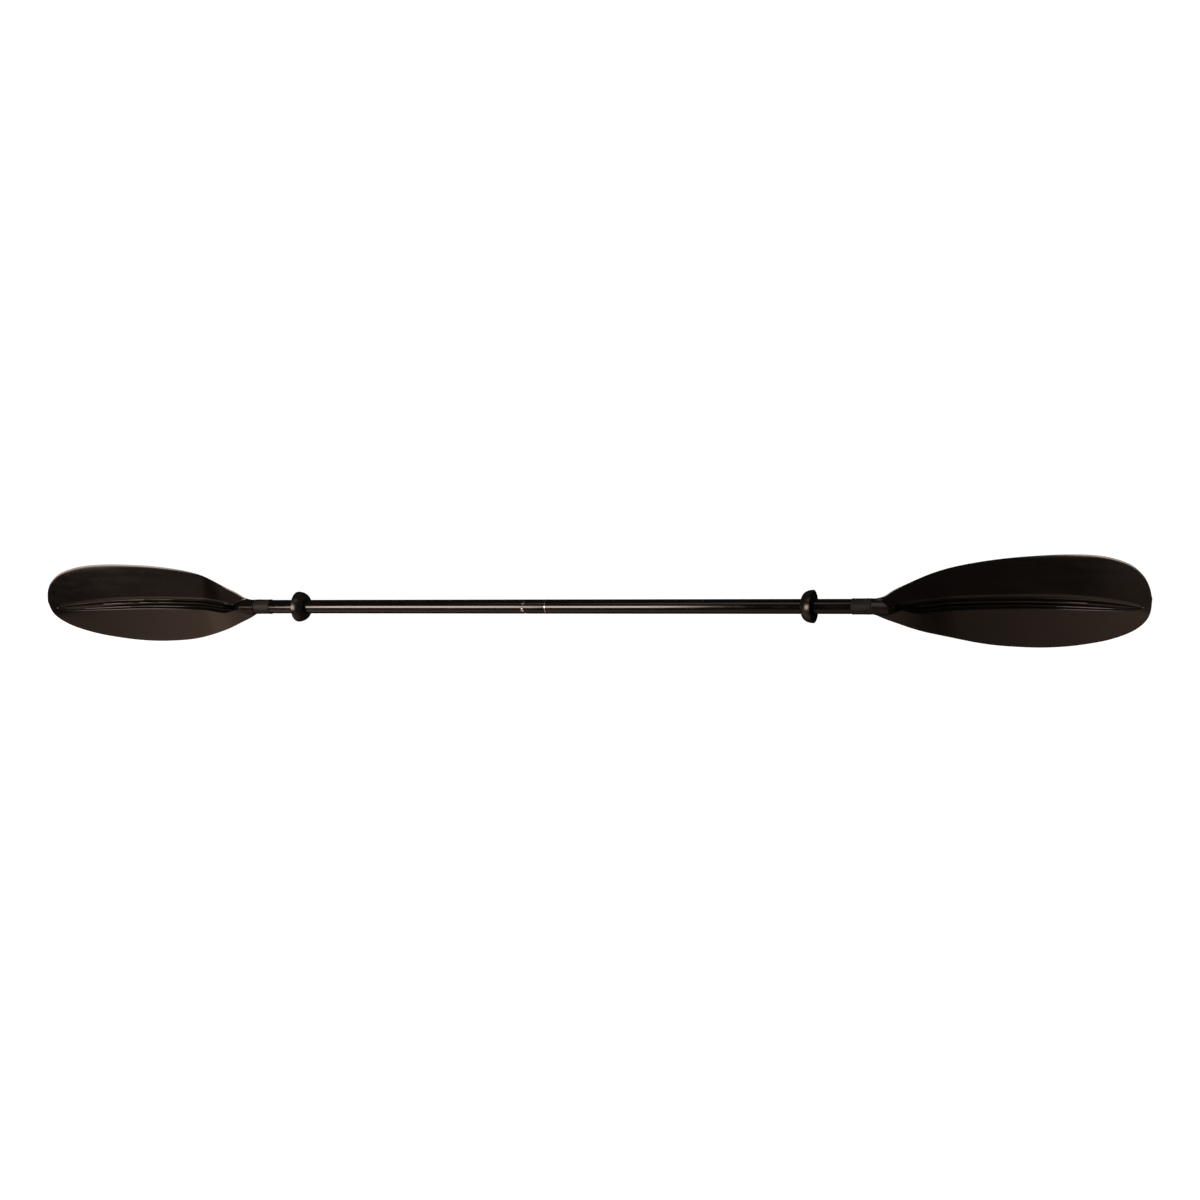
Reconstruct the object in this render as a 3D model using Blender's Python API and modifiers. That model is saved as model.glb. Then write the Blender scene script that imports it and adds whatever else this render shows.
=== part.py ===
"""Two-piece kayak paddle: two spooned blades on an aluminium shaft that comes apart and feathers.

Units are metres. +X runs along the shaft to the right blade, +Y points to the fuller edge of the
blades and +Z is the way the power faces look. The paddle lies on its blades' backs on z = 0, and
the origin is under its middle. The joint between the two halves is a little to the right of that.
Every piece hangs on an empty on the shaft's axis, so stations are measured from the middle and
heights from that axis.
"""
import math

import bmesh
import bpy
import numpy as np
from mathutils import Vector

# ---- driving dimensions ----------------------------------------------------------------------
HALF_LENGTH = 1.150          # from the middle to a blade's tip
BLADE_LENGTH = 0.497         # from the blade's shoulder to its tip
SHAFT_RADIUS = 0.0140
SHAFT_WALL = 0.0013
FEATHER_ANGLE = math.radians(60.0)
JOINT_STATION = 0.0065       # the seam between the two halves
BUTTON_OFFSET = 0.0468       # from the seam to the snap button
RING_RADIUS = 0.0310         # a drip ring's rim
RING_DEPTH = 0.0205
RING_STATIONS = {"left": 0.5420, "right": 0.5325}    # middle of each drip ring as it is set
GAP = 0.0003                 # between pieces that touch
SIDES = 32                   # facets round the shaft

# ---- sizes that follow -----------------------------------------------------------------------
BORE_RADIUS = SHAFT_RADIUS - SHAFT_WALL
SHOULDER = HALF_LENGTH - BLADE_LENGTH
COLLAR_LENGTH = 0.0297
SLEEVE_CLEARANCE = 0.0002    # between a sleeve's bore and the tube that it sits on
NECK_RING_LENGTH = 0.0060
COLLAR_RADIUS = SHAFT_RADIUS + 0.0012
NECK_RING_RADIUS = SHAFT_RADIUS + 0.0010
NECK_RADIUS = SHAFT_RADIUS + 0.0008
JOINT_RING_LENGTH = 0.0012
JOINT_RING_RADIUS = SHAFT_RADIUS + 0.0002

SPIGOT_RADIUS = BORE_RADIUS - GAP
SPIGOT_LENGTH = 0.050
SPIGOT_CHAMFER = 0.0010
BLADE_PIN_RADIUS = 0.0020
BLADE_PIN_SETBACK = 0.022    # from the shoulder to the pin
PLUG_LENGTH = 0.055
PLUG_SETBACK = 0.002         # from the spigot's end to the plug
SHAFT_SETBACK = 0.0025       # from the shoulder to the tube's end

RING_WALL = 0.0022
RING_GRIP_LENGTH = 0.0065
RING_APEX = 0.0022           # height of the dome's foot above the grip
RING_DOME_POWER = 0.9
RING_STEPS = 7

FERRULE_RADIUS = BORE_RADIUS - 0.0002
FERRULE_WALL = 0.0012
FERRULE_START = JOINT_STATION - 0.085
FERRULE_END = JOINT_STATION + 0.070
RIVET_STATIONS = (JOINT_STATION + 0.022, JOINT_STATION + 0.052)
RIVET_SHANK_RADIUS = 0.0016
RIVET_HEAD_RADIUS = 0.0034
RIVET_HEAD_HEIGHT = 0.0011
RIVET_TAIL = 0.0022          # how far the shank stands inside the ferrule
CAP_PLUG_LENGTH = 0.0090
CAP_CHAMFER = 0.0006
CAP_RIM = 0.0020
CAP_HEIGHT = 0.0028

BUTTON_STATION = JOINT_STATION - BUTTON_OFFSET
BUTTON_RADIUS = 0.0039
BUTTON_HOLE_RADIUS = 0.0043
BUTTON_FLANGE_RADIUS = 0.0050
BUTTON_TOP = SHAFT_RADIUS + 0.0024
BUTTON_EDGE = 0.0009
BUTTON_DIMPLE_RADIUS = 0.0009
BUTTON_DIMPLE_DEPTH = 0.0004
BUTTON_FLANGE_TOP = 0.0098
BUTTON_FLANGE_BOTTOM = 0.0090
HOLE_DEPTH = 0.009
SPRING_THICKNESS = 0.0006
SPRING_WIDTH = 0.0070
SPRING_TOP = 0.0084          # middle of the leaf under the button
SPRING_BOTTOM = -0.0098      # middle of the leaf on the far wall
SPRING_TOE = 0.0065          # the leaves reach this far past the button
SPRING_BEND = 0.022          # and bend back this far on its other side
SPRING_BEND_SHAPE = 0.6

# ---- the blade's form ------------------------------------------------------------------------
# Edge points run from the shoulder to the tip: station from the middle, distance from the axis.
UPPER_EDGE = (
    (0.653, 0.0148), (0.676, 0.0203), (0.701, 0.0349), (0.751, 0.0547), (0.801, 0.0664),
    (0.851, 0.0748), (0.901, 0.0812), (0.951, 0.0863), (1.001, 0.0911), (1.051, 0.0942),
    (1.086, 0.0925), (1.116, 0.0850), (1.136, 0.0698), (1.146, 0.0512), (1.150, 0.0291),
)
LOWER_EDGE = (
    (0.653, 0.0148), (0.676, 0.0269), (0.701, 0.0377), (0.751, 0.0602), (0.801, 0.0795),
    (0.851, 0.0917), (0.901, 0.0964), (0.951, 0.0956), (1.001, 0.0878), (1.051, 0.0727),
    (1.086, 0.0567), (1.116, 0.0367), (1.136, 0.0152), (1.146, -0.0052), (1.150, -0.0291),
)
SOCKET_LEVEL = 0.0026        # the power face beside the neck
BOWL_LEVEL = -0.0193         # the power face at its lowest
BOWL_STATION = 0.870
TIP_RISE = 0.0563            # from the bowl's bottom up to the tip
BOWL_POWER = 2.12
RAMP_START = 0.690
RAMP_END = 0.800
DIHEDRAL = 0.0111            # how far the edges fall back at the widest part
DIHEDRAL_POWER = 1.25        # 1 would be two flat planes
HALF_WIDTH = 0.0964
PLATE_THICKNESS = 0.0042
EDGE_THICKNESS = 0.0022
THINNEST = 0.0014            # plastic left under a flute
RIB_START = 0.697
RIB_END = 1.133
RIB_HALF_WIDTH = 0.0151
RIB_MOUTH = 0.45             # how open the flutes are where they start
MOUTH_LENGTH = 0.048         # over which they open
TAPER_START = 0.970          # from here the rib narrows to a point
TAPER_POWER = 0.45
RIB_LEAN = 0.0022            # the rib's middle lies this far below its crest near the neck
LEAN_START = 0.800
LEAN_END = 1.040
CREST_SWEEP = 0.0110         # the crest bends this far to the fuller edge by its end
SWEEP_START = 0.750
SWEEP_POWER = 2.4
CREST_HEIGHT = 0.0010        # above the power face
CREST_TAIL = 0.042           # the crest runs down from the neck's land over this length
FLUTE_STEEP = 1.05           # slope of each flute's wall that faces the fuller edge
FLUTE_SHEAR = 0.34           # that wall's share of the flute's width
FLUTE_RUNOUT = 0.35          # the share of the slope that is lost by the tip
FLUTE_EASE = 0.15            # rounds the flutes' corners
RIDGE_LEVEL = 0.0154         # flat land on the neck
RIDGE_HALF_WIDTH = 0.0066
RIDGE_SIDE_SLOPE = 1.1
RIDGE_SIDE_CURVE = 40.0
NECK_SKIRT = 1.2             # slope that carries the neck's round on past its widest
NECK_FILLET = 0.0070
NECK_END = 0.707             # the neck's land has run out here
NECK_FADE = 0.022            # over this length
NECK_NARROWING = 1.8         # its sides run out this much sooner
NECK_BLEND = 0.084           # the neck's width becomes the rib's over this length
BACK_SPINE_DEPTH = 0.0034
SPINE_LEAST = 0.25           # the share of that depth at the rib's end
EDGE_SHARPNESS = 10          # how late the plate's edges round off
EDGE_ZONE = 0.8
STRIP_HALF_WIDTH = 0.004     # middle zone past the rib's end
TIP_BLEND = 0.016            # the middle zone moves to the tip's middle over this length
TIP_LEAST_WIDTH = 0.004
FIN_STEPS = 5
CORE_STEPS = 20


def smooth_step(value):
    t = min(max(value, 0.0), 1.0)
    return t * t * (3.0 - 2.0 * t)


def mix(a, b, t):
    return a + (b - a) * t


def soft_max(a, b, width):
    """The larger of two heights, with a fillet where they meet."""
    near = max(width - abs(a - b), 0.0) / width
    return max(a, b) + near * near * width / 4.0


# ---- scene and helpers -----------------------------------------------------------------------
def clear_scene():
    for thing in list(bpy.data.objects):
        bpy.data.objects.remove(thing, do_unlink=True)


def make_collection(name):
    collection = bpy.data.collections.new(name)
    bpy.context.scene.collection.children.link(collection)
    return collection


clear_scene()
PARTS = make_collection("kayak_paddle")
CUTTERS = make_collection("cutters")
SHAFT_AXIS = bpy.data.objects.new("shaft_axis", None)
PARTS.objects.link(SHAFT_AXIS)


def make_material(name, color, roughness, metallic):
    material = bpy.data.materials.new(name)
    material.use_nodes = True
    shader = material.node_tree.nodes["Principled BSDF"]
    shader.inputs["Base Color"].default_value = (*color, 1.0)
    shader.inputs["Roughness"].default_value = roughness
    shader.inputs["Metallic"].default_value = metallic
    return material


BLADE_PLASTIC = make_material("blade_plastic", (0.018, 0.014, 0.012), 0.42, 0.0)
COLLAR_PLASTIC = make_material("collar_plastic", (0.030, 0.024, 0.021), 0.60, 0.0)
SHAFT_BLACK = make_material("shaft_black", (0.012, 0.011, 0.011), 0.18, 0.6)
RING_RUBBER = make_material("ring_rubber", (0.016, 0.015, 0.015), 0.35, 0.0)
BRIGHT_METAL = make_material("bright_metal", (0.80, 0.80, 0.78), 0.25, 1.0)
SPRING_STEEL = make_material("spring_steel", (0.45, 0.45, 0.46), 0.30, 1.0)
FLOAT_FOAM = make_material("float_foam", (0.55, 0.55, 0.52), 0.95, 0.0)
CAP_PLASTIC = make_material("cap_plastic", (0.05, 0.05, 0.05), 0.50, 0.0)


def finish(thing, name, material, collection=PARTS):
    thing.name = name
    thing.data.name = name
    for owner in list(thing.users_collection):
        owner.objects.unlink(thing)
    collection.objects.link(thing)
    thing.parent = SHAFT_AXIS
    if material is not None:
        thing.data.materials.clear()
        thing.data.materials.append(material)
    if collection is CUTTERS:
        thing.hide_render = True
        thing.display_type = "WIRE"
    return thing


def object_from_bmesh(mesh_builder, name, material, collection=PARTS):
    mesh = bpy.data.meshes.new(name)
    mesh_builder.to_mesh(mesh)
    mesh_builder.free()
    thing = bpy.data.objects.new(name, mesh)
    bpy.context.scene.collection.objects.link(thing)
    finish(thing, name, material, collection)
    mesh.shade_smooth()
    mesh.set_sharp_from_angle(angle=math.radians(35.0))
    return thing


def turned(name, profile, material, side=1.0, sides=SIDES, collection=PARTS):
    """Turn (station, radius) points round the shaft's axis; side -1 mirrors them to the left half."""
    mesh = bpy.data.meshes.new(name)
    # The profile stands up +Z and is laid along X afterwards, so its outer side runs downwards.
    points = [(radius, 0.0, station) for station, radius in profile]
    edges = [(i, i + 1) for i in range(len(points) - 1)]
    if profile[0][1] > 0.0 and profile[-1][1] > 0.0:
        edges.append((len(points) - 1, 0))
    mesh.from_pydata(points, edges, [])
    thing = bpy.data.objects.new(name, mesh)
    bpy.context.scene.collection.objects.link(thing)
    screw = thing.modifiers.new("turn", "SCREW")
    screw.axis = "Z"
    screw.angle = math.tau
    screw.steps = sides
    screw.render_steps = sides
    screw.use_merge_vertices = True
    screw.merge_threshold = 0.00005
    screw.use_smooth_shade = True
    finish(thing, name, material, collection)
    thing.rotation_euler = (0.0, side * math.pi / 2.0, 0.0)
    return thing


def tube_profile(start, end, inner, outer):
    """Outer side from the far end down to the near end, then back up the bore."""
    return [(end, outer), (start, outer), (start, inner), (end, inner)]


def rod_cutter(name, radius, length, centre, direction):
    builder = bmesh.new()
    bmesh.ops.create_cone(
        builder, cap_ends=True, segments=24, radius1=radius, radius2=radius, depth=length
    )
    cutter = object_from_bmesh(builder, name, None, CUTTERS)
    cutter.rotation_mode = "QUATERNION"
    cutter.rotation_quaternion = Vector(direction).to_track_quat("Z", "Y")
    cutter.location = centre
    return cutter


def cut(thing, cutter):
    boolean = thing.modifiers.new("cut_" + cutter.name, "BOOLEAN")
    boolean.operation = "DIFFERENCE"
    boolean.solver = "EXACT"
    boolean.object = cutter
    return thing


# ---- blade -----------------------------------------------------------------------------------
def catmull_rom(points, steps):
    """A smooth run of points through the control points."""
    knots = [np.array(p, dtype=float) for p in points]
    knots = [2 * knots[0] - knots[1]] + knots + [2 * knots[-1] - knots[-2]]
    curve = []
    for i in range(1, len(knots) - 2):
        before, here, there, after = knots[i - 1:i + 3]
        for step in range(steps):
            t = step / steps
            curve.append(0.5 * (
                2 * here + (there - before) * t
                + (2 * before - 5 * here + 4 * there - after) * t * t
                + (3 * here - before - 3 * there + after) * t ** 3
            ))
    curve.append(knots[-2])
    return np.array(curve)


UPPER_CURVE = catmull_rom(UPPER_EDGE, 12)
LOWER_CURVE = catmull_rom(LOWER_EDGE, 12)


def edge_at(curve, station):
    return float(np.interp(station, curve[:, 0], curve[:, 1]))


def face_level(station):
    """Height of the power face on the centre line, without the rib."""
    away = abs(station - BOWL_STATION) / (HALF_LENGTH - BOWL_STATION)
    bowl = BOWL_LEVEL + TIP_RISE * away ** BOWL_POWER
    ramp = smooth_step((RAMP_END - station) / (RAMP_END - RAMP_START))
    return mix(bowl, SOCKET_LEVEL, ramp)


def crest_line(station):
    """How far the rib's crest has bent towards the fuller edge."""
    along = max(0.0, (station - SWEEP_START) / (RIB_END - SWEEP_START))
    return CREST_SWEEP * along ** SWEEP_POWER


def rib_centre(station):
    """Middle of the rib's two outer edges."""
    grown = smooth_step((station - RIB_START) / MOUTH_LENGTH)
    left = 1.0 - smooth_step((station - LEAN_START) / (LEAN_END - LEAN_START))
    return crest_line(station) - RIB_LEAN * grown * left


def rib_width(station):
    """Half width of the fluted rib: even along most of its length, then pointed."""
    if not RIB_START < station < RIB_END:
        return 0.0
    opening = mix(RIB_MOUTH, 1.0, smooth_step((station - RIB_START) / MOUTH_LENGTH))
    along = max(0.0, (station - TAPER_START) / (RIB_END - TAPER_START))
    return RIB_HALF_WIDTH * opening * (1.0 - along ** 2) ** TAPER_POWER


def core_width(station):
    """Half width of the middle zone: the neck, then the rib, then a narrow strip to the tip."""
    blade = max(rib_width(station), STRIP_HALF_WIDTH)
    return mix(NECK_RADIUS, blade, smooth_step((station - SHOULDER) / NECK_BLEND))


def plate_level(station, across):
    """The power face without the rib: a spooned centre line and two planes that fall back."""
    return face_level(station) - DIHEDRAL * (abs(across) / HALF_WIDTH) ** DIHEDRAL_POWER


def flute_form(t, bottom):
    """A V with eased corners: 0 at the crest, 1 at its bottom and 0 at its outer edge."""
    inner = math.hypot(t / bottom, FLUTE_EASE) - FLUTE_EASE
    outer = math.hypot((1.0 - t) / (1.0 - bottom), FLUTE_EASE) - FLUTE_EASE
    return -soft_max(-inner, -outer, 2.0 * FLUTE_EASE)


def rib_height(station, across):
    """Two flutes with a crest between them; in both, the wall that faces the fuller edge is steep."""
    width = rib_width(station)
    if width <= 0.0:
        return 0.0
    from_crest = across - crest_line(station)
    lean = rib_centre(station) - crest_line(station)
    reach = width + lean if from_crest > 0.0 else width - lean
    t = abs(from_crest) / reach
    if t >= 1.0:
        return 0.0
    bottom = FLUTE_SHEAR if from_crest > 0.0 else 1.0 - FLUTE_SHEAR
    along = (station - RIB_START) / (RIB_END - RIB_START)
    depth = FLUTE_STEEP * FLUTE_SHEAR * reach * (1.0 - FLUTE_RUNOUT * along ** 4)
    tail = 1.0 - smooth_step((station - RIB_START) / CREST_TAIL)
    crest = CREST_HEIGHT * (1.0 - t) + (RIDGE_LEVEL - face_level(station)) * tail * (1.0 - t) ** 2
    return crest - depth * flute_form(t, bottom)


def front_height(station, across):
    """Power face, with the rib, the neck's round and the neck's flat land."""
    level = plate_level(station, across)
    height = level + rib_height(station, across)
    side = max(0.0, abs(across) - RIDGE_HALF_WIDTH)
    fade = smooth_step((NECK_END - NECK_NARROWING * side - station) / NECK_FADE)
    if fade > 0.0:
        neck = math.sqrt(max(0.0, NECK_RADIUS ** 2 - across ** 2))
        neck -= NECK_SKIRT * max(0.0, abs(across) - NECK_RADIUS)
        ridge = RIDGE_LEVEL - RIDGE_SIDE_SLOPE * side - RIDGE_SIDE_CURVE * side ** 2
        height = mix(height, soft_max(max(neck, ridge), level, NECK_FILLET), fade)
    return height


def back_height(station, across, plate):
    """Back of the blade; its middle zone swells into the neck and the back spine."""
    core = core_width(station)
    offset = abs(across - rib_centre(station))
    if offset > core:
        return plate
    round_part = math.sqrt(max(0.0, 1.0 - (offset / core) ** 2))
    toward_blade = smooth_step((station - SHOULDER) / (RAMP_END - SHOULDER))
    neck_back = -NECK_RADIUS * round_part
    taper = 1.0 - smooth_step((station - RAMP_END) / (RIB_END - RAMP_END))
    spine_back = plate - BACK_SPINE_DEPTH * mix(SPINE_LEAST, 1.0, taper) * round_part
    return min(plate, mix(neck_back, spine_back, toward_blade))


def blade_section(station):
    """One closed loop: the front from the upper edge to the lower, then the back again."""
    lower = -edge_at(LOWER_CURVE, station)
    upper = max(edge_at(UPPER_CURVE, station), lower + TIP_LEAST_WIDTH)
    core = min(core_width(station), 0.45 * (upper - lower))
    inland = smooth_step((HALF_LENGTH - station) / TIP_BLEND)
    centre = (upper + lower) / 2.0
    middle = mix(centre, rib_centre(station), inland)
    across = []
    for step in range(FIN_STEPS):
        t = math.sin(math.pi / 2.0 * (1.0 - step / FIN_STEPS))
        across.append(mix(middle + core, upper, t))
    for step in range(CORE_STEPS + 1):
        across.append(middle + core * math.cos(math.pi * step / CORE_STEPS))
    for step in range(1, FIN_STEPS + 1):
        t = math.sin(math.pi / 2.0 * step / FIN_STEPS)
        across.append(mix(middle - core, lower, t))
    front = []
    back = []
    for value in across:
        fraction = min(1.0, abs(value - centre) / ((upper - lower) / 2.0))
        thick = mix(PLATE_THICKNESS, EDGE_THICKNESS, fraction ** 2)
        rounding = math.sqrt(max(0.0, 1.0 - fraction ** EDGE_SHARPNESS))
        middle_level = plate_level(station, value) - thick / 2.0
        top = front_height(station, value)
        plate_back = middle_level - thick / 2.0 * rounding
        if fraction > EDGE_ZONE:
            top = middle_level + (top - middle_level) * rounding
        front.append((value, top))
        back.append((value, min(back_height(station, value, plate_back), top - THINNEST * rounding)))
    return front + back[-2:0:-1]


def circle_section(radius, count):
    """A round loop with as many points, in the same order, as a blade section."""
    half = count // 2
    loop = []
    for step in range(count):
        angle = math.pi * step / half
        loop.append((radius * math.cos(angle), radius * math.sin(angle)))
    return loop


def blade_stations():
    """Rows are close at the neck and at the tip, where the outline turns fast."""
    neck = np.linspace(SHOULDER + 0.003, NECK_END, 7)
    tail = np.linspace(NECK_END + 0.008, RIB_START + CREST_TAIL, 3)
    middle = np.linspace(RIB_START + CREST_TAIL + 0.016, HALF_LENGTH - 0.080, 14)
    tip = HALF_LENGTH - 0.0003 - 0.066 * np.linspace(1.0, 0.0, 9) ** 2
    return [float(station) for run in (neck, tail, middle, tip) for station in run]


def make_blade(side, name):
    loops = []
    count = len(blade_section(SHOULDER + 0.01))
    spigot_end = SHOULDER - SPIGOT_LENGTH
    for station, radius in (
        (spigot_end, SPIGOT_RADIUS - SPIGOT_CHAMFER), (spigot_end + SPIGOT_CHAMFER, SPIGOT_RADIUS),
        (SHOULDER - 0.0001, SPIGOT_RADIUS), (SHOULDER, NECK_RADIUS),
    ):
        loops.append((station, circle_section(radius, count)))
    for station in blade_stations():
        loops.append((station, blade_section(station)))
    builder = bmesh.new()
    rings = []
    for station, loop in loops:
        rings.append([builder.verts.new((side * station, y, z)) for y, z in loop])
    for near, far in zip(rings, rings[1:]):
        for i in range(count):
            j = (i + 1) % count
            builder.faces.new((near[i], near[j], far[j], far[i]))
    for ring in (rings[0], rings[-1]):
        builder.faces.new(ring)
    bmesh.ops.recalc_face_normals(builder, faces=builder.faces)
    return object_from_bmesh(builder, name, BLADE_PLASTIC)


# ---- pieces of one half ----------------------------------------------------------------------
def make_shaft(side, name):
    start = side * JOINT_STATION + JOINT_RING_LENGTH / 2.0 + GAP
    end = SHOULDER - SHAFT_SETBACK
    return turned(name, tube_profile(start, end, BORE_RADIUS, SHAFT_RADIUS), SHAFT_BLACK, side)


def make_collar(side, name):
    end = SHOULDER - GAP - NECK_RING_LENGTH - GAP
    start = end - COLLAR_LENGTH
    inner = SHAFT_RADIUS + SLEEVE_CLEARANCE
    lip = 0.0004
    profile = [
        (end, COLLAR_RADIUS - lip), (end - lip, COLLAR_RADIUS), (start + lip, COLLAR_RADIUS),
        (start, COLLAR_RADIUS - lip), (start, inner), (end, inner),
    ]
    return turned(name, profile, COLLAR_PLASTIC, side)


def make_neck_ring(side, name):
    end = SHOULDER - GAP
    start = end - NECK_RING_LENGTH
    inner = SHAFT_RADIUS + SLEEVE_CLEARANCE
    lip = 0.0003
    profile = [
        (end, NECK_RING_RADIUS - lip), (end - lip, NECK_RING_RADIUS),
        (start + lip, NECK_RING_RADIUS), (start, NECK_RING_RADIUS - lip),
        (start, inner), (end, inner),
    ]
    return turned(name, profile, COLLAR_PLASTIC, side)


def make_blade_pin(side, name):
    builder = bmesh.new()
    bmesh.ops.create_cone(
        builder, cap_ends=True, segments=20, radius1=BLADE_PIN_RADIUS,
        radius2=BLADE_PIN_RADIUS, depth=2.0 * (SHAFT_RADIUS - 0.0002),
    )
    pin = object_from_bmesh(builder, name, BRIGHT_METAL)
    pin.rotation_euler = (math.pi / 2.0, 0.0, 0.0)
    pin.location = (side * (SHOULDER - BLADE_PIN_SETBACK), 0.0, 0.0)
    return pin


def make_float_plug(side, name):
    end = SHOULDER - SPIGOT_LENGTH - PLUG_SETBACK
    start = end - PLUG_LENGTH
    radius = BORE_RADIUS - 0.0002
    profile = [(end, 0.0), (end, radius), (start, radius), (start, 0.0)]
    return turned(name, profile, FLOAT_FOAM, side, 24)


def dome(mouth, depth, apex, rim, backwards):
    """A quarter of a rounded dome, from its rim at the mouth to its apex on the shaft."""
    points = []
    for step in range(RING_STEPS + 1):
        angle = math.pi / 2.0 * step / RING_STEPS
        fall = math.cos(angle) ** RING_DOME_POWER
        points.append((mouth - depth * math.sin(angle), apex + (rim - apex) * fall))
    return points[::-1] if backwards else points


def ring_profile(station):
    """Cup with its mouth towards the blade: domed outside, hollow inside, snug on the shaft."""
    grip = SHAFT_RADIUS + SLEEVE_CLEARANCE
    apex = grip + RING_APEX
    mouth = station + RING_DEPTH / 2.0
    hollow = RING_DEPTH - RING_GRIP_LENGTH
    lip = [(mouth + RING_WALL / 2.0, RING_RADIUS - RING_WALL / 2.0)]
    outer = dome(mouth, RING_DEPTH, apex, RING_RADIUS, False)
    foot = [(mouth - RING_DEPTH, grip), (mouth - hollow, grip)]
    inner = dome(mouth, hollow, apex, RING_RADIUS - RING_WALL, True)
    return lip + outer + foot + inner


def make_drip_ring(side, name, station):
    return turned(name, ring_profile(station), RING_RUBBER, side)


# ---- the joint between the halves ------------------------------------------------------------
def make_ferrule():
    profile = tube_profile(
        FERRULE_START, FERRULE_END, FERRULE_RADIUS - FERRULE_WALL, FERRULE_RADIUS
    )
    return turned("ferrule_tube", profile, BRIGHT_METAL)


def make_ferrule_cap():
    """Plug in the ferrule's end with a rim that rides in the tube."""
    bore = FERRULE_RADIUS - FERRULE_WALL - 0.0002
    rim = FERRULE_RADIUS - 0.0003
    seat = FERRULE_START - GAP
    nose = seat + CAP_PLUG_LENGTH
    profile = [
        (nose, 0.0), (nose, bore - CAP_CHAMFER), (nose - CAP_CHAMFER, bore), (seat, bore),
        (seat, rim), (seat - CAP_RIM, rim), (seat - CAP_HEIGHT, rim - CAP_RIM),
        (seat - CAP_HEIGHT, 0.0),
    ]
    return turned("ferrule_cap", profile, CAP_PLASTIC)


def make_joint_ring():
    start = JOINT_STATION - JOINT_RING_LENGTH / 2.0
    end = JOINT_STATION + JOINT_RING_LENGTH / 2.0
    profile = tube_profile(start, end, BORE_RADIUS, JOINT_RING_RADIUS)
    return turned("joint_ring", profile, BRIGHT_METAL)


def upright(name, profile, material, location, sides=24):
    """A turned piece whose own axis stands along Z instead of along the shaft."""
    thing = turned(name, profile, material, 1.0, sides)
    thing.rotation_euler = (0.0, 0.0, 0.0)
    thing.location = location
    return thing


def make_rivet(station, name):
    """Domed head outside the tube at the back, shank through both walls, small tail inside."""
    seat = SHAFT_RADIUS + GAP
    under = seat - 0.0001
    tail = FERRULE_RADIUS - FERRULE_WALL - RIVET_TAIL
    steps = 4
    head = []
    for step in range(steps + 1):
        angle = math.pi / 2.0 * step / steps
        head.append((
            seat + RIVET_HEAD_HEIGHT * math.cos(angle), RIVET_HEAD_RADIUS * math.sin(angle)
        ))
    profile = head + [
        (under, RIVET_HEAD_RADIUS), (under, RIVET_SHANK_RADIUS),
        (tail, RIVET_SHANK_RADIUS), (tail, 0.0),
    ]
    rivet = upright(name, profile, BRIGHT_METAL, (station, 0.0, 0.0), 20)
    rivet.rotation_euler = (math.pi, 0.0, 0.0)
    return rivet


def make_button():
    """Round button with a dimple in its top and a flange that keeps it inside the ferrule."""
    top = BUTTON_TOP
    edge = BUTTON_EDGE
    dimple = BUTTON_DIMPLE_RADIUS
    profile = [
        (top - BUTTON_DIMPLE_DEPTH, 0.0), (top - BUTTON_DIMPLE_DEPTH, dimple), (top, dimple + 0.0005),
        (top, BUTTON_RADIUS - edge), (top - 0.3 * edge, BUTTON_RADIUS - 0.3 * edge),
        (top - edge, BUTTON_RADIUS), (BUTTON_FLANGE_TOP, BUTTON_RADIUS),
        (BUTTON_FLANGE_TOP, BUTTON_FLANGE_RADIUS), (BUTTON_FLANGE_BOTTOM, BUTTON_FLANGE_RADIUS),
        (BUTTON_FLANGE_BOTTOM, 0.0),
    ]
    return upright("snap_button", profile, BRIGHT_METAL, (BUTTON_STATION, 0.0, 0.0))


def make_spring():
    """Flat spring bent double: one leaf under the button, one on the ferrule's far wall."""
    toe = BUTTON_STATION - SPRING_TOE
    bend = BUTTON_STATION + SPRING_BEND
    radius = (SPRING_TOP - SPRING_BOTTOM) / 2.0
    middle = (SPRING_TOP + SPRING_BOTTOM) / 2.0
    steps = 8
    path = [(toe, SPRING_TOP), (BUTTON_STATION + BUTTON_RADIUS, SPRING_TOP)]
    for step in range(steps + 1):
        angle = math.pi / 2.0 - math.pi * step / steps
        path.append((
            bend + SPRING_BEND_SHAPE * radius * math.cos(angle), middle + radius * math.sin(angle)
        ))
    path.append((toe, SPRING_BOTTOM))
    builder = bmesh.new()
    outline = []
    for sign in (1.0, -1.0):
        run = path if sign > 0.0 else path[::-1]
        for i, point in enumerate(run):
            before = Vector(run[max(i - 1, 0)])
            after = Vector(run[min(i + 1, len(run) - 1)])
            along = (after - before).normalized()
            shift = Vector((-along.y, along.x)) * SPRING_THICKNESS / 2.0
            outline.append(Vector(point) + shift)
    near = [builder.verts.new((p.x, -SPRING_WIDTH / 2.0, p.y)) for p in outline]
    face = builder.faces.new(near)
    grown = bmesh.ops.extrude_face_region(builder, geom=[face])
    moved = [v for v in grown["geom"] if isinstance(v, bmesh.types.BMVert)]
    bmesh.ops.translate(builder, verts=moved, vec=(0.0, SPRING_WIDTH, 0.0))
    bmesh.ops.recalc_face_normals(builder, faces=builder.faces)
    return object_from_bmesh(builder, "snap_spring", SPRING_STEEL)


# ---- build -----------------------------------------------------------------------------------
def radial(angle):
    """Direction at an angle from +Z towards +Y."""
    return (0.0, math.sin(angle), math.cos(angle))


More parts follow.
